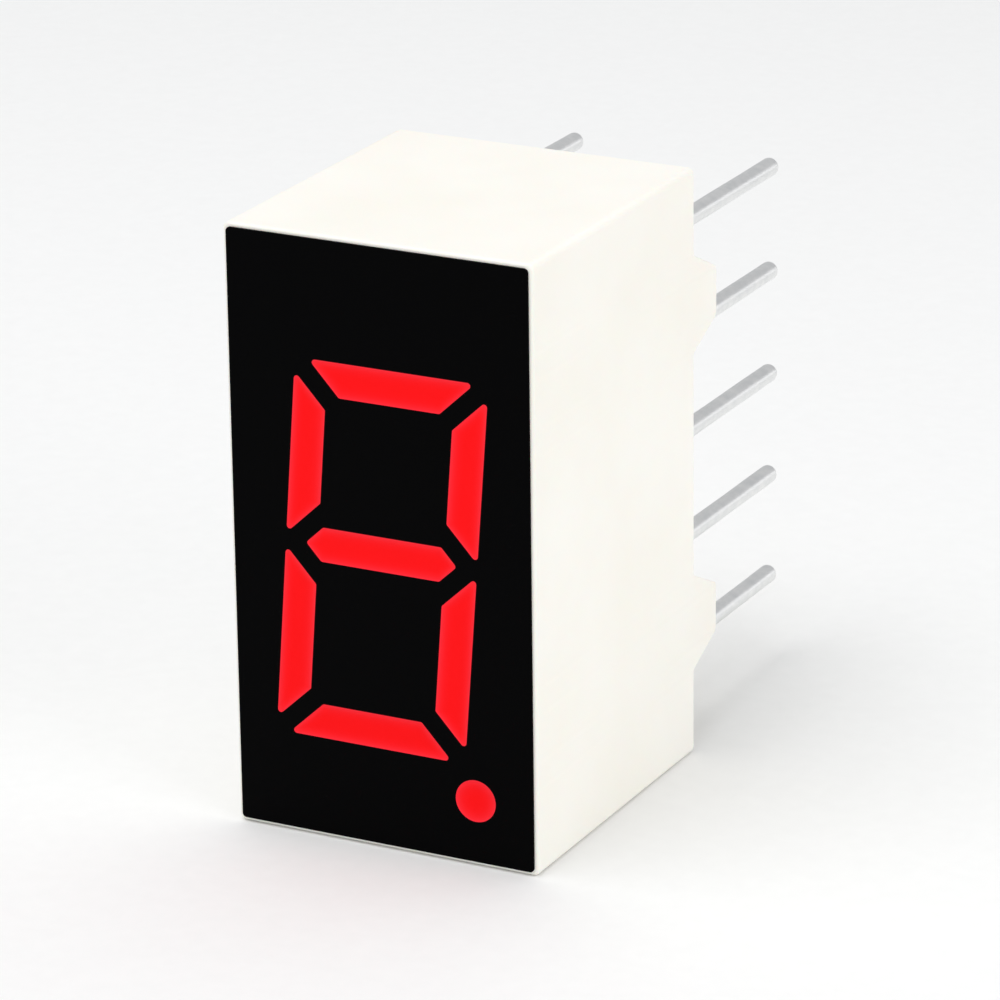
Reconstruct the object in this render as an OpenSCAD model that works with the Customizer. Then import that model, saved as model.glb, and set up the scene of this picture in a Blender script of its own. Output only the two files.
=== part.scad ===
// Seven segment display, one digit with a decimal point, ten pins, common anode.
// Origin: centre of the pin grid on the seating plane. +Y runs back along the pins,
// +Z up the digit, +X to the viewer's right, so the digit faces -Y.

/* [Housing] */
// Width of the housing
body_w = 7.5; // [7.4:0.1:9]
// Height of the housing
body_h = 14; // [13.8:0.1:17]
// Depth from the face to the rear rim
body_d = 8; // [7.6:0.1:12]
// Thickness of the walls round the board
wall = 0.65; // [0.5:0.05:0.75]
// Radius of the housing's corners
corner_r = 0.15; // [0.1:0.05:0.3]
// Bevel round the front edge
edge_bevel = 0.08; // [0.05:0.01:0.14]

/* [Feet] */
// Height of each foot past the rear rim
foot_h = 1.2; // [0.6:0.1:2]
// Length of a foot where it joins the rim
foot_root = 2.3; // [1.8:0.1:3.2]
// Length of a foot at its tip
foot_tip = 1.15; // [0.8:0.05:1.6]
// Distance between the two feet on one side
foot_pitch = 7.62; // [6:0.02:8]

/* [Face] */
// Thickness of the black face film
film_t = 0.06; // [0.03:0.01:0.15]
// Width of the flat white rim between the bevel and the film
film_margin = 0.02; // [0.02:0.01:0.15]
// Radius of the film's corners
film_r = 0.1; // [0.1:0.05:0.4]

/* [Digit] */
// Height of the digit over its outer edges
digit_h = 8.8; // [8.4:0.1:9.4]
// Width of the digit before it is slanted
digit_w = 4.7; // [4.4:0.1:5]
// Width of a segment
stroke = 0.8; // [0.6:0.02:0.9]
// Gap between neighbouring segments
seg_gap = 0.46; // [0.4:0.02:0.5]
// Distance of the middle segment's points from the digit's sides
point_in = 0.5; // [0.44:0.01:0.52]
// Height of the middle segment over the digit's centre
middle_z = 0.16; // [-0.2:0.02:0.2]
// Slant of the digit in degrees
slant = 4.5; // [0:0.5:8]
// Rounding of the segments' corners
seg_r = 0.07; // [0.03:0.01:0.09]
// Height of the digit's centre over the housing's centre
digit_z = -0.22; // [-0.3:0.02:0.2]
// Diameter of the decimal point
dot_d = 0.98; // [0.8:0.01:1.1]
// Distance of the decimal point right of the housing's centre
dot_x = 2.25; // [2:0.05:2.5]
// Distance of the decimal point below the housing's centre
dot_drop = 5.45; // [5.4:0.05:5.8]

/* [Light funnels] */
// Depth of the straight part of each window
window_d = 0.9; // [0.5:0.1:1.5]
// Depth of the reflector block behind the face
block_d = 5.2; // [4.6:0.1:5.4]
// Length of each funnel's opening over its chip
throat_l = 1.1; // [1:0.02:1.2]
// Width of each funnel's opening over its chip
throat_w = 0.8; // [0.7:0.02:0.9]
// Distance of the side funnels' openings from the centre line
throat_x = 1.6; // [1.4:0.05:1.65]

/* [Circuit board] */
// Thickness of the board
board_t = 0.8; // [0.6:0.1:1]
// Gap between the board's edge and the walls
board_gap = 0.05; // [0.03:0.01:0.1]
// Thickness of the copper
copper_t = 0.035; // [0.018:0.001:0.07]
// Width of the tracks
track_w = 0.25; // [0.15:0.01:0.3]
// Diameter of the solder rings
ring_d = 1; // [0.8:0.05:1.1]

/* [LED chips] */
// Side of a square chip
chip_w = 0.28; // [0.2:0.01:0.32]
// Height of a chip
chip_t = 0.2; // [0.1:0.01:0.25]
// Thickness of the silver epoxy under a chip
glue_t = 0.03; // [0.02:0.005:0.05]
// Diameter of a bond wire
wire_d = 0.03; // [0.03:0.005:0.05]
// Distance from a chip to its wire's other end
wire_span = 0.56; // [0.5:0.01:0.6]

/* [Pins] */
// Distance between neighbouring pins in a row
pin_pitch = 2.54; // [2.5:0.01:2.6]
// Distance between the two rows
row_gap = 5.08; // [5:0.02:5.2]
// Diameter of the bare wire
pin_d = 0.41; // [0.38:0.01:0.42]
// Diameter of the tinned end
tinned_d = 0.44; // [0.43:0.01:0.5]
// Reach of the pins past the rear rim
pin_reach = 6.8; // [4:0.1:9]
// Height of a pin's head over the board
pin_head = 0.35; // [0.3:0.05:0.4]
// Rounding of a pin's end
pin_round = 0.14; // [0.05:0.01:0.2]

/* [Rear resin] */
// Depth of the resin's surface below the rear rim
resin_drop = 0.3; // [0.2:0.05:0.6]
// Height of the resin drawn up round each pin
creep_h = 0.12; // [0.05:0.01:0.18]

/* [Hidden] */
// Facets in a full circle
$fn = 48;

SEGMENTS = ["a", "b", "c", "d", "e", "f", "g", "dp"];
MIDDLE = 6;
DOT = 7;
PINS = [1, 2, 3, 4, 5, 6, 7, 8, 9, 10];
LEFT_COMMON = 3;
RIGHT_COMMON = 8;

// Depths along Y, with the feet's tips at 0
y_rim = -foot_h;
y_face = y_rim - body_d;
y_front = y_face + film_t;
y_window = y_face + window_d;
y_copper = y_front + block_d;
y_board = y_copper + copper_t;
y_back = y_board + board_t;
y_resin = y_rim - resin_drop;
y_tip = y_rim + pin_reach;
y_glue = y_copper - glue_t;
y_chip = y_glue - chip_t;

cavity_w = body_w - 2 * wall;
cavity_h = body_h - 2 * wall;
cavity_r = 0.3;

film_w = body_w - 2 * (edge_bevel + film_margin);
film_h = body_h - 2 * (edge_bevel + film_margin);

// A cut runs this far past the surface that it opens
through = 0.5;
// Facets in a quarter turn of a rounded corner
corner_steps = 4;
// Room round each pin's head and solder, in the back of the reflector block
head_room = 0.05;
// Rounding of the feet's tips and of the funnels' openings
foot_r = 0.15;
throat_r = 0.15;
// The decimal point's funnel opens lower than the point, and to the left of the pin beside it
dot_lower = 0.25;
dot_gap = 0.1;

// The silver epoxy stands out round its chip by this much
glue_margin = 0.04;
// The copper under a chip, and under the other end of its wire
chip_pad = 0.5;
bond_pad = 0.3;
// A bond wire ends in a ball three wires across and one wire high
ball_r = 1.5 * wire_d;
ball_h = wire_d;

// The solder climbs this share of a pin's head, from just inside the copper ring to a thin lip on the pin
solder_share = 0.7;
solder_inset = 0.05;
solder_lip = 0.03;
// Thickness of the resin's upper edge on a pin
creep_lip = 0.02;

// Step of the board's drawing grid
grid = 0.01;

// ---------- outlines in the plane of the face: x to the right, y up ----------

function unit(v) = v / norm(v);

// An arc's points, from one angle to another
function arc(centre, r, from, to, steps) =
    [for (i = [0:steps]) let (t = from + (to - from) * i / steps) centre + r * [cos(t), sin(t)]];

// An oval's points, all the way round
function oval(centre, half_x, half_y) =
    [for (i = [0:$fn - 1]) let (t = 360 * i / $fn) centre + [half_x * cos(t), half_y * sin(t)]];

// A rectangle about the origin with rounded corners
function round_rect(w, h, r) =
    [for (q = [[1, 1], [-1, 1], [-1, -1], [1, -1]])
        let (from = atan2(q.y, q.x) - 45)
            each arc([q.x * (w / 2 - r), q.y * (h / 2 - r)], r, from, from + 90, corner_steps)];

// The corner p of an outline, between its neighbours, as an arc of radius r
function round_corner(before, p, after, r) =
    let (
        u = unit(before - p),
        v = unit(after - p),
        half = acos(u * v) / 2,
        centre = p + unit(u + v) * r / sin(half),
        first = p + u * r / tan(half) - centre,
        last = p + v * r / tan(half) - centre,
        from = atan2(first.y, first.x),
        turn = atan2(last.y, last.x) - from,
        short = abs(turn) > 180 ? turn - 360 * sign(turn) : turn
    )
    arc(centre, r, from, from + short, corner_steps);

function rounded(outline, r) =
    let (n = len(outline))
    [for (i = [0:n - 1]) each round_corner(outline[(i + n - 1) % n], outline[i], outline[(i + 1) % n], r)];

// Mirror images, with the points put back in anticlockwise order
function left_right(outline) = [for (i = [len(outline) - 1:-1:0]) [-outline[i].x, outline[i].y]];
function up_down(outline) = [for (i = [len(outline) - 1:-1:0]) [outline[i].x, -outline[i].y]];

// The upright digit about its own centre: mitred bars with a gap between one another
half_w = digit_w / 2;
half_h = digit_h / 2;
mitre = seg_gap / sqrt(2);
waist = seg_gap * sqrt(2) - point_in;

// The upper left bar, down to its end over a middle segment at this height
function upper_bar(middle) = [
    [-half_w, half_h - mitre], [-half_w, middle + waist],
    [-half_w + stroke, middle + waist + stroke], [-half_w + stroke, half_h - stroke - mitre]
];

bar_a = [
    [half_w - mitre, half_h], [-half_w + mitre, half_h],
    [-half_w + stroke + mitre, half_h - stroke], [half_w - stroke - mitre, half_h - stroke]
];
bar_f = upper_bar(middle_z);
bar_e = up_down(upper_bar(-middle_z));
point = half_w - point_in;
bar_g = [for (p = [
    [point, 0], [point - stroke / 2, stroke / 2], [-point + stroke / 2, stroke / 2],
    [-point, 0], [-point + stroke / 2, -stroke / 2], [point - stroke / 2, -stroke / 2]
]) p + [0, middle_z]];
BARS = [bar_a, left_right(bar_f), left_right(bar_e), up_down(bar_a), bar_e, bar_f, bar_g];

// A point of the upright digit, slanted and in its place on the face
function on_face(p) = [p.x + p.y * tan(slant), p.y + digit_z];

// The window of segment i in the face
function window(i) =
    i == DOT
    ? oval([dot_x, -dot_drop], dot_d / 2, dot_d / 2)
    : rounded([for (p = BARS[i]) on_face(p)], seg_r);

// ---------- places on the board ----------

// Pins 1 to 5 run down the left row, 6 to 10 up the right row
function pin_at(n) = n <= 5 ? [-row_gap / 2, (3 - n) * pin_pitch] : [row_gap / 2, (n - 8) * pin_pitch];

function on_grid(p) = [round(p.x / grid) * grid, round(p.y / grid) * grid];

// The centre of each funnel's opening over its chip, between the pins' heads
THROATS = [for (p = [
    on_face([0, half_h - stroke / 2]),
    [throat_x, pin_pitch / 2],
    [throat_x, -pin_pitch / 2],
    on_face([0, -half_h + stroke / 2]),
    [-throat_x, -pin_pitch / 2],
    [-throat_x, pin_pitch / 2],
    on_face([0, middle_z]),
    [row_gap / 2 - throat_l - dot_gap, -dot_drop - dot_lower]
]) on_grid(p)];

// The way from each chip's wire to the chip, towards the pin that feeds it, and that pin
SIDES = [[1, 0], [0, 1], [0, -1], [-1, 0], [0, -1], [0, 1], [-1, 0], [1, 0]];
FEEDS = [10, 9, 7, 5, 4, 2, 1, 6];

function chip_at(i) = THROATS[i] + SIDES[i] * wire_span / 2;
function bond_at(i) = THROATS[i] - SIDES[i] * wire_span / 2;

// Half the funnel's opening along x and y
function throat_half(i) = (SIDES[i].x == 0 ? [throat_w, throat_l] : [throat_l, throat_w]) / 2;

// Which side of the middle an offset is on, with 0 for one on the grid line through the middle
function side_of(offset) = abs(offset) < grid ? 0 : sign(offset);

// The corner of the opening that the corner p of the upright bar runs down to
function throat_corner(i, p) =
    let (
        middle = [for (q = BARS[i]) 1] * BARS[i] / len(BARS[i]),
        side = [side_of(p.x - middle.x), side_of(p.y - middle.y)],
        nip = i == MIDDLE && side.y != 0 ? throat_half(i).y / 2 : 0
    )
    THROATS[i] + [side.x * (throat_half(i).x - nip), side.y * throat_half(i).y];

// The outline of each funnel's opening over its chip
function throat(i) =
    i == DOT
    ? oval(THROATS[i], throat_half(i).x, throat_half(i).y)
    : rounded([for (p = BARS[i]) throat_corner(i, p)], throat_r);

// ---------- shared solids ----------

// An outline of the face's plane, extruded from y0 back to y1
module slab(outline, y0, y1)
    translate([0, y1, 0])
        rotate([90, 0, 0])
            linear_extrude(y1 - y0)
                polygon(outline);

// A solid that runs from one outline at y0 to another at y1
module loft(outline0, y0, outline1, y1) {
    n = len(outline0);
    polyhedron(
        points = concat(
            [for (p = outline0) [p.x, y0, p.y]],
            [for (p = outline1) [p.x, y1, p.y]]
        ),
        faces = concat(
            [[for (i = [n - 1:-1:0]) i], [for (i = [0:n - 1]) n + i]],
            [for (i = [0:n - 1]) [i, (i + 1) % n, n + (i + 1) % n]],
            [for (i = [0:n - 1]) [i, n + (i + 1) % n, n + i]]
        )
    );
}

// A round bar along Y, at a point of the face's plane
module rod(at, r0, y0, r1, y1)
    translate([at.x, y0, at.y])
        rotate([-90, 0, 0])
            cylinder(r1 = r0, r2 = r1, h = y1 - y0);

// The light path of segment i: a straight window, then a funnel down to the chip
module light_path(i) {
    slab(window(i), y_face, y_window);
    loft(window(i), y_window, throat(i), y_copper);
}

module chip(i)
    translate([chip_at(i).x - chip_w / 2, y_chip, chip_at(i).y - chip_w / 2])
        cube([chip_w, chip_t, chip_w]);

module glue(i)
    translate([chip_at(i).x, 0, chip_at(i).y])
        translate([-chip_w / 2 - glue_margin, y_glue, -chip_w / 2 - glue_margin])
            cube([chip_w + 2 * glue_margin, glue_t, chip_w + 2 * glue_margin]);

// A bond wire: a ball on the chip, a half loop, and a ball on the copper
module wire(i) {
    y_loop = y_chip - ball_h - wire_d;
    rod(chip_at(i), ball_r, y_chip - ball_h, ball_r, y_chip);
    rod(chip_at(i), wire_d / 2, y_loop, wire_d / 2, y_chip - ball_h);
    rod(bond_at(i), ball_r, y_copper - ball_h, ball_r, y_copper);
    rod(bond_at(i), wire_d / 2, y_loop, wire_d / 2, y_copper - ball_h);
    translate([THROATS[i].x, y_loop, THROATS[i].y])
        rotate([0, SIDES[i].x == 0 ? -90 : 0, 0])
            rotate([180, 0, 0])
                rotate_extrude(angle = 180)
                    translate([wire_span / 2, 0])
                        circle(d = wire_d);
}

// A pin, from its rounded end to its head: tinned up to the seating plane, bare wire above
module pin(n) {
    r = tinned_d / 2;
    profile = concat(
        [[0, y_tip]],
        arc([r - pin_round, y_tip - pin_round], pin_round, 90, 0, corner_steps + 1),
        [[r, 0], [pin_d / 2, 0], [pin_d / 2, y_board - pin_head], [0, y_board - pin_head]]
    );
    color("#C4C6C9")
        translate([pin_at(n).x, 0, pin_at(n).y])
            rotate([-90, 0, 0])
                rotate_extrude()
                    polygon(profile);
}

// ---------- the pieces ----------

// Moulded shell: reflector block in front, room for the board behind, four feet
module reflector_housing() {
    y_bevel = y_front + edge_bevel;
    outer = round_rect(body_w, body_h, corner_r);
    inner = round_rect(body_w - 2 * edge_bevel, body_h - 2 * edge_bevel, corner_r);
    foot = rounded([
        [y_rim - wall, foot_root / 2], [y_rim - wall, -foot_root / 2], [y_rim, -foot_root / 2],
        [0, -foot_tip / 2], [0, foot_tip / 2], [y_rim, foot_root / 2]
    ], foot_r);
    color("#FBF8F0") {
        difference() {
            union() {
                slab(outer, y_bevel, y_rim);
                loft(inner, y_front, outer, y_bevel);
            }
            slab(round_rect(cavity_w, cavity_h, cavity_r), y_copper, y_rim + through);
            for (i = [0:DOT])
                light_path(i);
            for (n = PINS)
                rod(pin_at(n), ring_d / 2 + head_room, y_board - pin_head - head_room,
                    ring_d / 2 + head_room, y_copper + through);
        }
        for (x = [-body_w / 2, body_w / 2 - wall], z = [-foot_pitch / 2, foot_pitch / 2])
            translate([x, 0, z])
                rotate([90, 0, 90])
                    linear_extrude(wall)
                        polygon(foot);
    }
}

// Black film on the face, cut out round the segments and the decimal point
module face_mask()
    color("#0B0B0C")
        difference() {
            slab(round_rect(film_w, film_h, film_r), y_face, y_front);
            for (i = [0:DOT])
                translate([0, y_face - through, 0])
                    slab(window(i), 0, film_t + 2 * through);
        }

// Diffusing resin cast in one light path, round the chip and its wire
module lens(i)
    color("#F5151D")
        difference() {
            light_path(i);
            chip(i);
            glue(i);
            wire(i);
        }

module led_chip(i)
    color("#B9503A")
        chip(i);

module bond_wire(i)
    color("#E3BE4F")
        wire(i);

module chip_glue()
    color("#BFC3C6")
        for (i = [0:DOT])
            glue(i);

module circuit_board()
    color("#B9A36A")
        difference() {
            slab(round_rect(cavity_w - 2 * board_gap, cavity_h - 2 * board_gap, cavity_r - board_gap),
                y_board, y_back);
            for (n = PINS)
                rod(pin_at(n), pin_d / 2, y_board - through, pin_d / 2, y_back + through);
        }

// A track between two points, straight first and then at 45 degrees
module track(from, to) {
    run = to - from;
    m = min(abs(run.x), abs(run.y));
    bend = to - m * [sign(run.x), sign(run.y)];
    for (leg = [[from, bend], [bend, to]])
        if (norm(leg[1] - leg[0]) > track_w / 10)
            copper_strip(leg[0], leg[1]);
}

// A straight strip of copper with round ends
module copper_strip(from, to) {
    run = to - from;
    rod(from, track_w / 2, y_copper, track_w / 2, y_board);
    rod(to, track_w / 2, y_copper, track_w / 2, y_board);
    translate([from.x, y_copper, from.y])
        rotate([0, -atan2(run.y, run.x), 0])
            translate([0, 0, -track_w / 2])
                cube([norm(run), copper_t, track_w]);
}

module pad(at, w, h)
    translate([at.x - w / 2, y_copper, at.y - h / 2])
        cube([w, copper_t, h]);

// Etched copper: a ring round each pin, two pads and a track for each chip, and the common
// track that joins every chip's wire to pins 3 and 8
module copper_tracks()
    color("#C98B4A")
        difference() {
            union() {
                for (n = PINS)
                    rod(pin_at(n), ring_d / 2, y_copper, ring_d / 2, y_board);
                for (i = [0:DOT]) {
                    pad(chip_at(i), chip_pad, chip_pad);
                    pad(bond_at(i), bond_pad, bond_pad);
                    track(chip_at(i), pin_at(FEEDS[i]));
                }
                track(bond_at(MIDDLE), bond_at(0));
                track(bond_at(MIDDLE), [throat_x, bond_at(MIDDLE).y]);
                track(bond_at(1), bond_at(2));
                track(bond_at(5), bond_at(4));
                track(bond_at(4), bond_at(2));
                track(pin_at(LEFT_COMMON), [-throat_x, 0]);
                track(pin_at(RIGHT_COMMON), [throat_x, 0]);
                track([bond_at(3).x, bond_at(4).y], bond_at(3));
                track(bond_at(DOT), bond_at(3));
            }
            for (n = PINS)
                rod(pin_at(n), pin_d / 2, y_copper - through, pin_d / 2, y_board + through);
        }

// A cone of solder round each pin's head
module solder_joints()
    color("#B5B9BE")
        for (n = PINS)
            difference() {
                rod(pin_at(n), pin_d / 2 + solder_lip, y_copper - solder_share * (pin_head - copper_t),
                    ring_d / 2 - solder_inset, y_copper);
                rod(pin_at(n), pin_d / 2, y_copper - through, pin_d / 2, y_copper + through);
            }

// Resin poured in behind the board, drawn up a little round each pin
module rear_resin()
    color("#E9E4D6")
        difference() {
            union() {
                slab(round_rect(cavity_w, cavity_h, cavity_r), y_back, y_resin);
                for (n = PINS)
                    rod(pin_at(n), pin_d / 2 + creep_h, y_resin, pin_d / 2 + creep_lip, y_resin + creep_h);
            }
            for (n = PINS)
                rod(pin_at(n), pin_d / 2, y_back - through, pin_d / 2, y_rim);
        }

reflector_housing();
face_mask();
circuit_board();
copper_tracks();
solder_joints();
chip_glue();
for (i = [0:MIDDLE])
    lens(i);
lens(DOT);  // decimal_point
for (i = [0:DOT])
    led_chip(i);
for (i = [0:DOT])
    bond_wire(i);
for (n = PINS)
    pin(n);
rear_resin();
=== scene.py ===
"""Seven segment display, one digit with a decimal point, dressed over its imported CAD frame.

The display stands on its lower side. The frame is the part's own: +X to the viewer's right, +Y back along the
pins, +Z up the digit, so the face looks along -Y. Shapes are worked out in millimetres, and a mesh takes them
in metres.
"""

import math

import bmesh
import bpy
import numpy as np
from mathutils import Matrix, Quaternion, Vector
from mathutils.geometry import delaunay_2d_cdt


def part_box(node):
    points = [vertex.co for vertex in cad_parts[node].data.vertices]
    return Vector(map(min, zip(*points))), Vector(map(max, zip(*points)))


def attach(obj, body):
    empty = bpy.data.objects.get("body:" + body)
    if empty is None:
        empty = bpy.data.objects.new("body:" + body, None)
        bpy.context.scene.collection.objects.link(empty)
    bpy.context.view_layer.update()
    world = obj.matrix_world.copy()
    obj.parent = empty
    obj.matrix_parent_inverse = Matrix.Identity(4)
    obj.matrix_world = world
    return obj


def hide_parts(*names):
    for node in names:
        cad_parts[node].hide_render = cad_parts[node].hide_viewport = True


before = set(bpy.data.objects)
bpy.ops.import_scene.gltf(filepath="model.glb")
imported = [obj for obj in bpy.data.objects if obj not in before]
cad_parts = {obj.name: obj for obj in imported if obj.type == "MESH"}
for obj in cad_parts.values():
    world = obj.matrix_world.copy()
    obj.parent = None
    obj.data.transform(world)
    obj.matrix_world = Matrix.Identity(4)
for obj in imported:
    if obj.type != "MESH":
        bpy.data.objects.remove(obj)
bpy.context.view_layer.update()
MM = 0.001


# ---------- Camera ----------
# A long lens to the right of the display and above it. It stands 118 mm away, which is near enough for the
# block's edges to draw together a little towards the back.

azimuth, elevation, roll = (math.radians(angle) for angle in (27.4, 19.85, -0.72))
aim = Vector((3.04, -9.39, 1.73)) * MM
distance = 118.4 * MM
towards_camera = Vector((
    math.sin(azimuth) * math.cos(elevation),
    -math.cos(azimuth) * math.cos(elevation),
    math.sin(elevation),
))
camera = bpy.data.objects.new("camera", bpy.data.cameras.new("camera"))
camera.data.lens = 200
camera.data.clip_start = 5 * MM
camera.location = aim + distance * towards_camera
camera.rotation_mode = "QUATERNION"
camera.rotation_quaternion = towards_camera.to_track_quat("Z", "Y") @ Quaternion((0, 0, 1), roll)
bpy.context.scene.collection.objects.link(camera)
bpy.context.scene.camera = camera
bpy.context.scene.view_settings.view_transform = "Standard"


# ---------- Studio ----------
# A pale matt table top under a white room, with a softbox overhead, one on the right, and one behind that
# draws a streak of light along the pins. The light is soft, so the block casts only a faint shadow.

def linear(hex_colour):
    """An sRGB hex colour in linear light: c / 12.92 up to 0.04045, above it ((c + 0.055) / 1.055)^2.4."""
    c = np.array([int(hex_colour[i:i + 2], 16) for i in (1, 3, 5)]) / 255
    return (*np.where(c <= 0.04045, c / 12.92, ((c + 0.055) / 1.055) ** 2.4).tolist(), 1.0)


def add(material, kind, inputs=None, **settings):
    """Adds a shader node: settings are its own properties, each input a value or another node's socket."""
    made = material.node_tree.nodes.new("ShaderNode" + kind)
    for name, value in settings.items():
        setattr(made, name, value)
    for name, value in (inputs or {}).items():
        if isinstance(value, bpy.types.NodeSocket):
            material.node_tree.links.new(value, made.inputs[name])
        else:
            made.inputs[name].default_value = value
    return made


def finish_of(name, **sockets):
    """A new material and its shader, with these values on the shader's own sockets."""
    material = bpy.data.materials.new(name)
    material.use_nodes = True
    shader = material.node_tree.nodes["Principled BSDF"]
    for socket, value in sockets.items():
        shader.inputs[socket.replace("_", " ")].default_value = value
    return material, shader


def softbox(name, place, width, radiance):
    """A square area light that looks at the aim, as bright as a sheet of that radiance."""
    lamp = bpy.data.lights.new(name, "AREA")
    lamp.size = width
    lamp.energy = radiance * math.pi * width ** 2
    held = bpy.data.objects.new(name, lamp)
    held.location = place
    held.rotation_mode = "QUATERNION"
    held.rotation_quaternion = (held.location - aim).to_track_quat("Z", "Y")
    held.visible_camera = False
    bpy.context.scene.collection.objects.link(held)


softbox("softbox_overhead", Vector((-40, -60, 220)) * MM, 200 * MM, 2.4)
softbox("softbox_right", Vector((230, -60, 80)) * MM, 170 * MM, 1.7)
softbox("softbox_behind", Vector((135, 210, 28)) * MM, 64 * MM, 1.25)

room = bpy.data.worlds.new("white_room")
room.use_nodes = True
room.node_tree.nodes["Background"].inputs["Color"].default_value = linear("#F7F8FA")
room.node_tree.nodes["Background"].inputs["Strength"].default_value = 0.62
bpy.context.scene.world = room

table_half = 1.5
table_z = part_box("reflector_housing")[0].z
table = bpy.data.meshes.new("table_top")
table.from_pydata(
    [(x, y, table_z) for x, y in ((-table_half, -table_half), (table_half, -table_half),
                                  (table_half, table_half), (-table_half, table_half))], [], [(0, 1, 2, 3)])
table_top = bpy.data.objects.new("table_top", table)
bpy.context.scene.collection.objects.link(table_top)

# White card with a faint tooth: fibres about 0.4 mm long leave it a little uneven.
card, card_shader = finish_of("white_card", Roughness=0.9, Specular_IOR_Level=0.1)
card_place = add(card, "TexCoord").outputs["Object"]
card_fibre = add(card, "TexNoise", {"Vector": card_place, "Scale": 1 / (0.4 * MM), "Detail": 3.0})
card_tone = add(card, "ValToRGB", {"Fac": card_fibre.outputs["Fac"]})
card_tone.color_ramp.elements[0].color = linear("#F3F3F2")
card_tone.color_ramp.elements[1].color = linear("#F7F7F6")
card.node_tree.links.new(card_tone.outputs["Color"], card_shader.inputs["Base Color"])
table.materials.append(card)


# ---------- Housing ----------
# One moulding of white polycarbonate. In front is the reflector block with a light funnel for each lit shape,
# behind it a room for the board, and on the rear rim four feet that hold the display off a circuit board.


def span(name):
    """A frame node's width and height in the face's plane, and its front and back depths, in millimetres."""
    low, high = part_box(name)
    return (high.x - low.x) / MM, (high.z - low.z) / MM, low.y / MM, high.y / MM


body_w, body_h, y_front, y_feet = span("reflector_housing")
cavity_w, cavity_h, y_back, y_collar = span("rear_resin")
y_copper = span("copper_tracks")[2]
foot_h, foot_root, foot_tip, foot_pitch = 1.2, 2.3, 1.15, 7.62
foot_root_r, foot_tip_r = 0.12, 0.15
y_rim = y_feet - foot_h
corner_r, cavity_r, front_r, rim_r = 0.15, 0.3, 0.08, 0.05

# A frame's point this near a wall or a depth lies on it. Points of a piece nearer than the weld are one.
slack, weld = 0.001, 0.0002


def rounded(corners, radii, steps):
    """An open line with its inner corners rounded: each becomes an arc of radius r about a point r / sin(half
    the corner's angle) in from it."""
    p, r = np.asarray(corners, float), np.asarray(radii, float)[:, None]
    u, v = p[:-2] - p[1:-1], p[2:] - p[1:-1]
    u, v = (w / np.linalg.norm(w, axis=1, keepdims=True) for w in (u, v))
    half = np.arccos((u * v).sum(1, keepdims=True)) / 2
    inwards = (u + v) / np.linalg.norm(u + v, axis=1, keepdims=True)
    centre = p[1:-1] + inwards * r / np.sin(half)
    first, last = (p[1:-1] + w * r / np.tan(half) - centre for w in (u, v))
    start = np.arctan2(first[:, 1], first[:, 0])
    sweep = (np.arctan2(last[:, 1], last[:, 0]) - start + np.pi) % (2 * np.pi) - np.pi
    angle = start[:, None] + sweep[:, None] * np.linspace(0, 1, steps + 1)
    return (centre[:, None] + r[:, None] * np.stack([np.cos(angle), np.sin(angle)], -1)).reshape(-1, 2)


def outline(w, h, r, side=()):
    """A rounded rectangle seen from the face, anticlockwise: up the right side by its stations, round two
    corners by centre + r (cos t, sin t), down the left side and round the other two."""
    side = np.asarray(side, float)
    t = np.radians(np.linspace(0, 90, 13))
    arcs = [
        np.stack([sx * (w / 2 - r) + r * np.cos(t + turn), sz * (h / 2 - r) + r * np.sin(t + turn)], 1)
        for sx, sz, turn in ((1, 1, 0), (-1, 1, np.pi / 2), (-1, -1, np.pi), (1, -1, 1.5 * np.pi))
    ]
    right = np.stack([np.full(len(side), w / 2), side], 1)
    left = np.stack([np.full(len(side), -w / 2), side[::-1]], 1)
    return np.concatenate([right, arcs[0], arcs[1], left, arcs[2], arcs[3]])


def ring(loop, depth):
    """A loop of the face's plane set at a depth, which is one number or one for each point."""
    return np.stack([loop[:, 0], np.broadcast_to(depth, len(loop)), loop[:, 1]], 1)


def sleeve(rings):
    """Quads between rings of equal count. They face away from the loops' middle when the rings run from front
    to back, and towards it when they run from back to front."""
    rings = np.asarray(rings)
    m, n = rings.shape[:2]
    i, j = np.meshgrid(np.arange(m - 1), np.arange(n), indexing="ij")
    a, b = i * n + j, i * n + (j + 1) % n
    return rings.reshape(-1, 3), np.stack([a, a + n, b + n, b], -1).reshape(-1, 4)


def around(n, start=0):
    """The edges that join n points in a ring."""
    k = np.arange(n)
    return np.stack([k, (k + 1) % n], 1) + start


def flat(loops, depth, faces_back, edges=None):
    """A flat face at one depth, inside the first loop and outside the others: a constrained Delaunay
    triangulation, less the triangles whose middle has an even number of edges to its right."""
    points = np.concatenate(loops)
    if edges is None:
        starts = np.cumsum([0] + [len(loop) for loop in loops[:-1]])
        edges = np.concatenate([around(len(loop), s) for loop, s in zip(loops, starts)])
    a, b = points[edges[:, 0]], points[edges[:, 1]]
    inside_constraints, merge_distance = 1, 1e-5
    points, _, triangles, *_ = delaunay_2d_cdt(
        [Vector(p) for p in points.tolist()], edges.tolist(), [], inside_constraints, merge_distance)
    points, triangles = np.array([tuple(p) for p in points]), np.array(triangles)
    x, z = points[triangles].mean(1).T[:, :, None]
    left_of = (b[:, 0] - a[:, 0]) * (z - a[:, 1]) > (b[:, 1] - a[:, 1]) * (x - a[:, 0])
    crossed = ((a[:, 1] > z) != (b[:, 1] > z)) & (left_of == (b[:, 1] > a[:, 1]))
    triangles = triangles[crossed.sum(1) % 2 == 1]
    return ring(points, depth), triangles[:, ::-1] if faces_back else triangles


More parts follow.
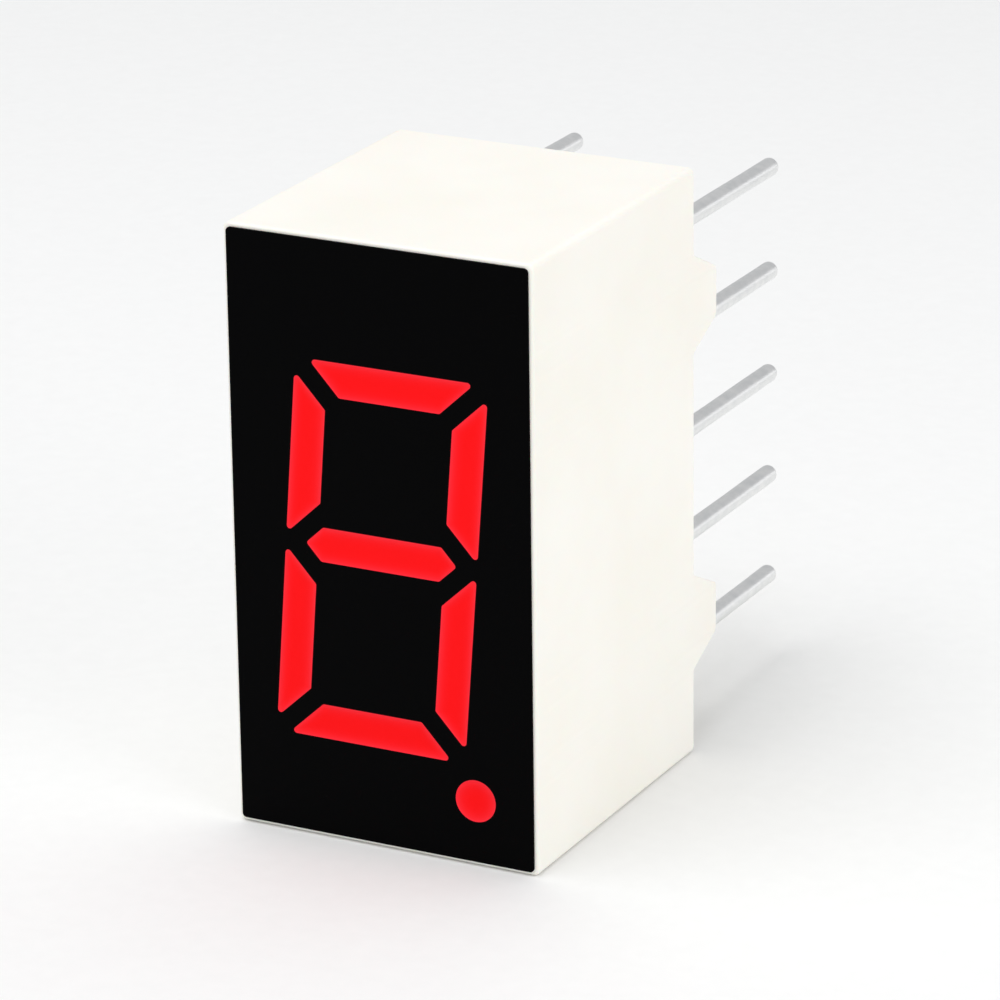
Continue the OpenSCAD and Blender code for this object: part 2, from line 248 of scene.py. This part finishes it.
def frame_faces(name):
    """A frame node's points in millimetres, those that meet made one, and its triangles."""
    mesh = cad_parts[name].data
    points = np.empty(len(mesh.vertices) * 3)
    mesh.vertices.foreach_get("co", points)
    mesh.calc_loop_triangles()
    triangles = np.empty(len(mesh.loop_triangles) * 3, int)
    mesh.loop_triangles.foreach_get("vertices", triangles)
    points = points.reshape(-1, 3) / MM
    _, first, same = np.unique(np.round(points, decimals=4), axis=0, return_index=True, return_inverse=True)
    triangles = same.reshape(-1)[triangles].reshape(-1, 3)
    return points[first], triangles


def open_edges(triangles):
    """The edges that only one triangle has."""
    edges = np.sort(np.concatenate([triangles[:, [0, 1]], triangles[:, [1, 2]], triangles[:, [2, 0]]]), 1)
    edges, count = np.unique(edges, axis=0, return_counts=True)
    return edges[count == 1]


def build(name, parts, finish, replaced):
    """One closed piece from its parts, each some points in millimetres and their faces. Points that meet are
    joined, edges sharper than 35 degrees stay sharp, and wide faces set the shading of the bends."""
    starts = np.cumsum([0] + [len(points) for points, _ in parts[:-1]])
    mesh = bpy.data.meshes.new(name)
    mesh.from_pydata(
        (np.concatenate([points for points, _ in parts]) * MM).tolist(), [],
        [face for (_, faces), s in zip(parts, starts) for face in (faces + s).tolist()])
    work = bmesh.new()
    work.from_mesh(mesh)
    bmesh.ops.remove_doubles(work, verts=work.verts, dist=weld * MM)
    work.to_mesh(mesh)
    work.free()
    mesh.shade_smooth()
    mesh.set_sharp_from_angle(angle=math.radians(35))
    mesh.materials.append(finish)
    made = bpy.data.objects.new(name, mesh)
    bpy.context.scene.collection.objects.link(made)
    made.modifiers.new("even_shading", "WEIGHTED_NORMAL").keep_sharp = True
    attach(made, "root")
    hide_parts(replaced)


foot = rounded(
    [(-foot_root, 0), (-foot_root / 2, 0), (-foot_tip / 2, foot_h),
     (foot_tip / 2, foot_h), (foot_root / 2, 0), (foot_root, 0)],
    (foot_root_r, foot_tip_r, foot_tip_r, foot_root_r), steps=6)
stations = np.concatenate([foot[:, 0] - foot_pitch / 2, foot[:, 0] + foot_pitch / 2])
rise = np.concatenate([foot[:, 1], foot[:, 1]])
outer = outline(body_w, body_h, corner_r, stations)
inner = outline(cavity_w, cavity_h, cavity_r, stations)
corners = np.zeros((len(outer) - 2 * len(rise)) // 2)
top = y_rim + np.concatenate([rise, corners, rise[::-1], corners])

# Round the section: over the front edge, back along the side, over the rim and down the inner wall. A bend is
# a quarter circle: r (1 - sin t) in from the side and r (1 - cos t) on from the face, or the reverse.
bend = np.radians(np.linspace(0, 90, 7))
front_edge = [
    ring(outline(body_w - 2 * inset, body_h - 2 * inset, corner_r, stations), y_front + drop)
    for inset, drop in zip(front_r * (1 - np.sin(bend)), front_r * (1 - np.cos(bend)))
]
wall = (body_w - cavity_w) / 2
across, dip = rim_r * (1 - np.cos(bend)) / wall, rim_r * (1 - np.sin(bend))
rim = [
    ring(outer + (inner - outer) * share, top - drop)
    for share, drop in [*zip(across, dip), *zip(1 - across[::-1], dip[::-1])]
]
shell = sleeve(front_edge + rim + [ring(inner, y_copper)])

# The funnels and the pockets round the pins' heads keep the frame's own walls.
points, triangles = frame_faces("reflector_housing")
deep = (np.abs(points[:, 0]) < cavity_w / 2 - slack) & (points[:, 1] < y_copper + slack)
at_front = np.abs(points[:, 1] - y_front) < slack
at_back = np.abs(points[:, 1] - y_copper) < slack
triangles = triangles[deep[triangles].all(1) & ~at_front[triangles].all(1) & ~at_back[triangles].all(1)]
rim_of_tubes = open_edges(triangles)


def block_face(loop, level, depth, faces_back):
    """The block's flat face inside a loop, with a hole for each tube that opens at that level."""
    holes = rim_of_tubes[level[rim_of_tubes].all(1)]
    ends, renumbered = np.unique(holes, return_inverse=True)
    edges = np.concatenate([around(len(loop)), renumbered.reshape(-1, 2) + len(loop)])
    return flat([loop, points[ends][:, [0, 2]]], depth, faces_back, edges)


housing_parts = [
    shell,
    (points, triangles),
    block_face(front_edge[0][:, [0, 2]], at_front, y_front, False),
    block_face(inner, at_back, y_copper, True),
]

# Polycarbonate, injection moulded in a spark-eroded mould: warm white, satin, with an even 0.07 mm grain.
housing_white, shader = finish_of(
    "polycarbonate_moulded_white", Roughness=0.42, IOR=1.58,
    Subsurface_Weight=0.12, Subsurface_Scale=0.4 * MM)
place = add(housing_white, "TexCoord").outputs["Object"]
flow = add(housing_white, "TexNoise", {"Vector": place, "Scale": 1 / (3 * MM), "Detail": 2.0})
tone = add(housing_white, "ValToRGB", {"Fac": flow.outputs["Fac"]})
tone.color_ramp.elements[0].position, tone.color_ramp.elements[1].position = 0.3, 0.7
tone.color_ramp.elements[0].color = linear("#FAF6EC")
tone.color_ramp.elements[1].color = linear("#FDFAF2")
grain = add(housing_white, "TexNoise", {"Vector": place, "Scale": 1 / (0.07 * MM), "Detail": 2.0})
relief = add(housing_white, "Bump", {
    "Height": grain.outputs["Fac"], "Strength": 0.35, "Distance": 0.006 * MM})
housing_white.node_tree.links.new(tone.outputs["Color"], shader.inputs["Base Color"])
housing_white.node_tree.links.new(relief.outputs["Normal"], shader.inputs["Normal"])

build("moulded_housing", housing_parts, housing_white, "reflector_housing")


# ---------- Face film ----------
# Black film stuck on the face, die cut a little inside the housing's edge and round each lit shape. Its cut
# edges are very slightly rolled, and a thin white edge of the housing shows round it.

film_w, film_h, y_face, _ = span("face_mask")
film_r, cut_r, border = 0.1, 0.015, 0.03
SHAPES = [f"segment_{letter}" for letter in "abcdefg"] + ["decimal_point"]


def front_loop(name):
    """The outline of a lit shape in the face, anticlockwise: each is convex, so its points are sorted by
    their angle about their middle."""
    found, _ = frame_faces(name)
    loop = found[np.abs(found[:, 1] - y_face) < slack][:, [0, 2]]
    away = loop - (loop.min(0) + loop.max(0)) / 2
    return loop[np.argsort(np.arctan2(away[:, 1], away[:, 0]))]


def grown(loop, distance):
    """A loop moved outwards along its normals, each square to the chord between a point's two neighbours."""
    chord = np.roll(loop, -1, 0) - np.roll(loop, 1, 0)
    normal = np.stack([chord[:, 1], -chord[:, 0]], 1) / np.linalg.norm(chord, axis=1, keepdims=True)
    return loop + distance * normal


# The rolled edge's steps: how far each lies in from the cut, and how deep below the film's surface. The first
# is a flat border, which keeps the shading of the bend out of the face.
curl = np.radians(np.linspace(0, 90, 4))
cut_steps = [(cut_r + border, 0), *zip(cut_r * (1 - np.sin(curl)), cut_r * (1 - np.cos(curl)))]
film_edge = [
    ring(outline(film_w - 2 * inset, film_h - 2 * inset, film_r - inset), y_face + drop)
    for inset, drop in cut_steps
] + [ring(outline(film_w, film_h, film_r), y_front)]
windows = [front_loop(name) for name in SHAPES]
window_edges = [
    [ring(loop, y_front)] + [ring(grown(loop, inset), y_face + drop) for inset, drop in cut_steps[::-1]]
    for loop in windows
]
film_parts = [sleeve(film_edge)] + [sleeve(edge) for edge in window_edges] + [
    flat([film_edge[0][:, [0, 2]]] + [edge[-1][:, [0, 2]] for edge in window_edges], y_face, False),
    flat([film_edge[-1][:, [0, 2]]] + windows, y_front, True),
]

# Polyester film, printed matt black: a deep black that takes only a broad, weak sheen from the room.
film_black, shader = finish_of("polyester_film_printed_black", Roughness=0.5, Specular_IOR_Level=0.03)
place = add(film_black, "TexCoord").outputs["Object"]
print_grain = add(film_black, "TexNoise", {"Vector": place, "Scale": 1 / (0.06 * MM), "Detail": 3.0})
tone = add(film_black, "ValToRGB", {"Fac": print_grain.outputs["Fac"]})
tone.color_ramp.elements[0].color = linear("#000000")
tone.color_ramp.elements[1].color = linear("#020203")
relief = add(film_black, "Bump", {
    "Height": print_grain.outputs["Fac"], "Strength": 0.3, "Distance": 0.003 * MM})
film_black.node_tree.links.new(tone.outputs["Color"], shader.inputs["Base Color"])
film_black.node_tree.links.new(relief.outputs["Normal"], shader.inputs["Normal"])

build("printed_face_film", film_parts, film_black, "face_mask")


# ---------- Segments and decimal point ----------
# Red epoxy with a white diffuser, cast in each funnel over its chip and wire. It shrinks a little as it sets,
# so each lit face is dished: it clings to the film's edge and sinks to a flat middle.

# The rings lie closer together towards the rim, where the dish is steep. A shape is round when its points are
# equally far from its middle, to within the roundness.
dish, roundness = 0.03, 0.01
shares_in = (1, 0.7, 0.45, 0.28, 0.17, 0.1, 0.05, 0.02, 0)


def dished_front(loop):
    """Rings from the outline in to the shape's spine, the part of its long axis that is clear of both ends. A
    share t of the way in, the resin lies dish (1 - (1 - t)^4) below the film's surface."""
    middle = (loop.min(0) + loop.max(0)) / 2
    away = loop - middle
    axis = np.linalg.svd(away - away.mean(0), full_matrices=False)[2][0]
    along = away @ axis
    is_round = np.ptp(np.linalg.norm(away, axis=1)) < roundness
    reach = 0 if is_round else np.abs(along).min()
    spine = middle + np.clip(along, -reach, reach)[:, None] * axis
    return [ring(loop + (spine - loop) * t, y_face + dish * (1 - (1 - t) ** 4)) for t in shares_in]


# Diffusing epoxy, cast: a saturated red with a faint painted glow. The diffuser's powder is just visible as
# fine mottle, and a painted highlight makes it paler and pinker towards the rim, where the dish is shallow.
resin_red, shader = finish_of(
    "epoxy_cast_diffusing_red", Roughness=0.35, Specular_IOR_Level=0.08, Emission_Strength=0.12)
place = add(resin_red, "TexCoord").outputs["Object"]
powder = add(resin_red, "TexNoise", {
    "Vector": place, "Scale": 1 / (0.09 * MM), "Detail": 4.0, "Roughness": 0.7})
tone = add(resin_red, "ValToRGB", {"Fac": powder.outputs["Fac"]})
tone.color_ramp.elements[0].position, tone.color_ramp.elements[1].position = 0.3, 0.7
tone.color_ramp.elements[0].color = linear("#F5060B")
tone.color_ramp.elements[1].color = linear("#FF0A12")
# Near the film's surface the colour pales to pink: a painted highlight on the dish's rim, fed into the
# painted glow too.
depth = add(resin_red, "SeparateXYZ", {"Vector": place}).outputs["Y"]
sunk = add(resin_red, "MapRange", {"Value": depth, "From Min": y_face * MM, "From Max": (y_face + dish) * MM})
red_with_painted_rim_light = add(resin_red, "MixRGB", {
    "Fac": sunk.outputs["Result"], "Color1": linear("#F82A38"), "Color2": tone.outputs["Color"]})
for socket in ("Base Color", "Emission Color"):
    resin_red.node_tree.links.new(red_with_painted_rim_light.outputs["Color"], shader.inputs[socket])

for name, loop in zip(SHAPES, windows):
    points, triangles = frame_faces(name)
    lit = np.abs(points[:, 1] - y_face) < slack
    triangles = triangles[~lit[triangles].all(1)]
    build(f"{name}_resin", [sleeve(dished_front(loop)), (points, triangles)], resin_red, name)


# ---------- Board and copper ----------
# A board of glass-epoxy laminate behind the funnels, with etched copper on its front: a ring round each pin,
# and a pad and a track for each chip. All of it lies sealed between the housing and the rear resin.

def dress(finish, *names):
    """Gives frame nodes whose own shape is right this finish."""
    for name in names:
        for material_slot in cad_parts[name].material_slots:
            material_slot.material = finish


# Glass-epoxy laminate, pressed: straw yellow, with the glass cloth's weave at 0.5 mm showing through. The
# wave texture draws a band every pi / 10 of its scaled distance.
laminate, shader = finish_of("glass_epoxy_pressed", Roughness=0.45, IOR=1.55)
place = add(laminate, "TexCoord").outputs["Object"]
weave_pitch = 0.5 * MM
warp = add(laminate, "TexWave", {"Vector": place, "Scale": math.pi / 10 / weave_pitch}, bands_direction="X")
weft = add(laminate, "TexWave", {"Vector": place, "Scale": math.pi / 10 / weave_pitch}, bands_direction="Z")
weave = add(laminate, "Math", operation="MAXIMUM")
laminate.node_tree.links.new(warp.outputs["Fac"], weave.inputs[0])
laminate.node_tree.links.new(weft.outputs["Fac"], weave.inputs[1])
tone = add(laminate, "ValToRGB", {"Fac": weave.outputs["Value"]})
tone.color_ramp.elements[0].color = linear("#A8924F")
tone.color_ramp.elements[1].color = linear("#C7B377")
relief = add(laminate, "Bump", {"Height": weave.outputs["Value"], "Strength": 0.2, "Distance": 0.01 * MM})
laminate.node_tree.links.new(tone.outputs["Color"], shader.inputs["Base Color"])
laminate.node_tree.links.new(relief.outputs["Normal"], shader.inputs["Normal"])
dress(laminate, "circuit_board")


def metal_of(name, dark, light, smooth, rough, patch):
    """A metal with soft patches of the given size, between two tones and two roughnesses."""
    metal, metal_shader = finish_of(name, Metallic=1.0)
    spot = add(metal, "TexCoord").outputs["Object"]
    noise = add(metal, "TexNoise", {"Vector": spot, "Scale": 1 / patch, "Detail": 3.0})
    shade = add(metal, "ValToRGB", {"Fac": noise.outputs["Fac"]})
    shade.color_ramp.elements[0].position, shade.color_ramp.elements[1].position = 0.3, 0.7
    shade.color_ramp.elements[0].color, shade.color_ramp.elements[1].color = linear(dark), linear(light)
    sheen = add(metal, "MapRange", {"Value": noise.outputs["Fac"], "To Min": smooth, "To Max": rough})
    metal.node_tree.links.new(shade.outputs["Color"], metal_shader.inputs["Base Color"])
    metal.node_tree.links.new(sheen.outputs["Result"], metal_shader.inputs["Roughness"])
    return metal


# Copper foil, etched: a warm pink metal that the etch leaves finely matt, in patches of 0.1 mm.
dress(metal_of("copper_foil_etched", "#B9714A", "#D98F68", 0.3, 0.45, 0.1 * MM), "copper_tracks")


# ---------- Solder, chips and wires ----------
# Each pin's head is soldered into its ring. A light emitting chip sits in a dab of silver epoxy under each
# funnel, and a gold wire thinner than a hair loops from its top to the copper beside it.

LETTERS = [*"abcdefg", "dp"]

# Tin solder, reflowed: bright silver, with frosty patches of 0.12 mm where it froze.
dress(metal_of("tin_solder_reflowed", "#B4B7BB", "#D6D8DB", 0.12, 0.3, 0.12 * MM), "solder_joints")

# Silver-filled epoxy, dispensed: matt pale grey, with flakes of 0.03 mm.
dress(metal_of("silver_epoxy_dispensed", "#A3A5A6", "#C6C8C9", 0.5, 0.7, 0.03 * MM), "chip_glue")

# Gold wire, drawn and bonded: rich yellow and bright, with faint patches of 0.04 mm.
dress(metal_of("gold_wire_drawn", "#D9A73C", "#F0C75A", 0.15, 0.25, 0.04 * MM),
      *(f"bond_wire_{letter}" for letter in LETTERS))

# Gallium arsenide crystal, grown in layers, sawn and etched: dark red and glassy, its layers 0.05 mm thick.
crystal, shader = finish_of("gallium_arsenide_sawn", Roughness=0.18, IOR=3.3)
place = add(crystal, "TexCoord").outputs["Object"]
layers = add(crystal, "TexWave", {"Vector": place, "Scale": math.pi / 10 / (0.05 * MM)}, bands_direction="Y")
tone = add(crystal, "ValToRGB", {"Fac": layers.outputs["Fac"]})
tone.color_ramp.elements[0].color = linear("#4A1710")
tone.color_ramp.elements[1].color = linear("#7A2A1C")
crystal.node_tree.links.new(tone.outputs["Color"], shader.inputs["Base Color"])
dress(crystal, *(f"led_chip_{letter}" for letter in LETTERS))


# ---------- Pins ----------
# Ten round wires, soldered into the board and standing out behind. Each was dipped in tin up to the seating
# plane, so the coat swells by 0.015 mm there and the cut end is a smooth dome.

PINS = [f"pin_{n}" for n in range(1, 11)]
tinned_d, _, pin_head, pin_tip = span(PINS[0])
wire_r, tin_r, dome_r, swell = 0.205, tinned_d / 2, 0.14, 0.25

# The bare wire starts behind the board. The coat's waver has a depth, turns so many radians in a millimetre,
# and is shifted by so many from each pin to the next.
y_bare, waver_deep, waver_turn, waver_shift = -3, 0.004, 2.1, 1.7


def pin_profile(phase):
    """Depths and radii along a pin. The tin's edge is the smooth step t t (3 - 2 t) at the seating plane, the
    coat wavers in a slow sine of the depth, and the end closes as a quarter circle on a small flat."""
    depth = np.concatenate([[pin_head], np.linspace(y_bare, -swell, 3), np.linspace(-swell, swell, 9)[1:],
                            np.linspace(swell, pin_tip - dome_r, 24)[1:]])
    t = np.clip((depth + swell) / (2 * swell), 0, 1)
    coat = t * t * (3 - 2 * t)
    waver = waver_deep * coat * (np.sin(waver_turn * depth + phase) - 1) / 2
    radius = wire_r + (tin_r - wire_r) * coat + waver
    turn = np.radians(np.linspace(0, 90, 7))[1:]
    end = radius[-1]
    depth = np.concatenate([[pin_head], depth, pin_tip - dome_r + dome_r * np.sin(turn), [pin_tip]])
    radius = np.concatenate([[0], radius, end - dome_r + dome_r * np.cos(turn), [0]])
    return depth, radius


angles = np.radians(np.linspace(0, 360, 32, endpoint=False))
circle = np.stack([np.cos(angles), np.sin(angles)], 1)


def turned(centre, depth, radius):
    """A surface of revolution along Y: centre + radius (cos t, sin t) at each depth."""
    return sleeve([ring(centre + r * circle, y) for y, r in zip(depth, radius)])


# Tin over copper-clad wire, drawn and then dipped: satin silver grey, with faint lines along the wire and
# soft patches of 0.25 mm where the tin froze.
tin, shader = finish_of("wire_drawn_tin_dipped", Metallic=1.0)
place = add(tin, "TexCoord").outputs["Object"]
stretched = add(tin, "Mapping", {"Vector": place, "Scale": (1.0, 0.04, 1.0)})
drawn = add(tin, "TexNoise", {"Vector": stretched.outputs["Vector"], "Scale": 1 / (0.03 * MM), "Detail": 2.0})
patches = add(tin, "TexNoise", {"Vector": place, "Scale": 1 / (0.25 * MM), "Detail": 3.0})
tone = add(tin, "ValToRGB", {"Fac": patches.outputs["Fac"]})
tone.color_ramp.elements[0].position, tone.color_ramp.elements[1].position = 0.3, 0.7
tone.color_ramp.elements[0].color = linear("#E4E5E5")
tone.color_ramp.elements[1].color = linear("#EFEFEE")
gloss = add(tin, "MapRange", {"Value": patches.outputs["Fac"], "To Min": 0.34, "To Max": 0.44})
relief = add(tin, "Bump", {"Height": drawn.outputs["Fac"], "Strength": 0.25, "Distance": 0.004 * MM})
tin.node_tree.links.new(tone.outputs["Color"], shader.inputs["Base Color"])
tin.node_tree.links.new(gloss.outputs["Result"], shader.inputs["Roughness"])
tin.node_tree.links.new(relief.outputs["Normal"], shader.inputs["Normal"])

pin_places = {}
for n, name in enumerate(PINS):
    low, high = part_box(name)
    pin_places[name] = np.array([low.x + high.x, low.z + high.z]) / 2 / MM
    build(f"{name}_wire", [turned(pin_places[name], *pin_profile(waver_shift * n))], tin, name)


# ---------- Rear resin ----------
# Milky epoxy poured in over the board to seal the back. It wets the walls and the pins, so its surface climbs
# a little at both, with the cube of how near it is.

pin_creep, wall_creep = 0.12, 0.07
y_resin = y_collar - pin_creep
pin_reach, wall_reach = 0.17, 0.14
climb = np.linspace(1, 0, 8)
resin_wall = [ring(outline(cavity_w, cavity_h, cavity_r), y_back)] + [
    ring(outline(cavity_w - 2 * inset, cavity_h - 2 * inset, cavity_r), y_resin + wall_creep * c ** 3)
    for c, inset in zip(climb, wall_reach * (1 - climb))
]
collars = [
    [ring(centre + (wire_r + pin_reach * (1 - c)) * circle, y_resin + pin_creep * c ** 3)
     for c in climb[::-1]]
    + [ring(centre + wire_r * circle, y_back)]
    for centre in pin_places.values()
]
resin_parts = [sleeve(resin_wall)] + [sleeve(collar) for collar in collars] + [
    flat([resin_wall[-1][:, [0, 2]]] + [collar[0][:, [0, 2]] for collar in collars], y_resin, True),
    flat([resin_wall[0][:, [0, 2]]] + [collar[-1][:, [0, 2]] for collar in collars], y_back, False),
]

# Epoxy, cast: a milky, faintly yellow gloss with slow clouds of 1.2 mm where the filler settled.
resin_milky, shader = finish_of(
    "epoxy_cast_milky", Roughness=0.16, IOR=1.55, Subsurface_Weight=0.3, Subsurface_Scale=0.6 * MM)
place = add(resin_milky, "TexCoord").outputs["Object"]
clouds = add(resin_milky, "TexNoise", {"Vector": place, "Scale": 1 / (1.2 * MM), "Detail": 3.0})
tone = add(resin_milky, "ValToRGB", {"Fac": clouds.outputs["Fac"]})
tone.color_ramp.elements[0].position, tone.color_ramp.elements[1].position = 0.3, 0.7
tone.color_ramp.elements[0].color = linear("#E2DCCA")
tone.color_ramp.elements[1].color = linear("#EAE5D6")
relief = add(resin_milky, "Bump", {"Height": clouds.outputs["Fac"], "Strength": 0.3, "Distance": 0.015 * MM})
resin_milky.node_tree.links.new(tone.outputs["Color"], shader.inputs["Base Color"])
resin_milky.node_tree.links.new(relief.outputs["Normal"], shader.inputs["Normal"])

build("milky_rear_resin", resin_parts, resin_milky, "rear_resin")
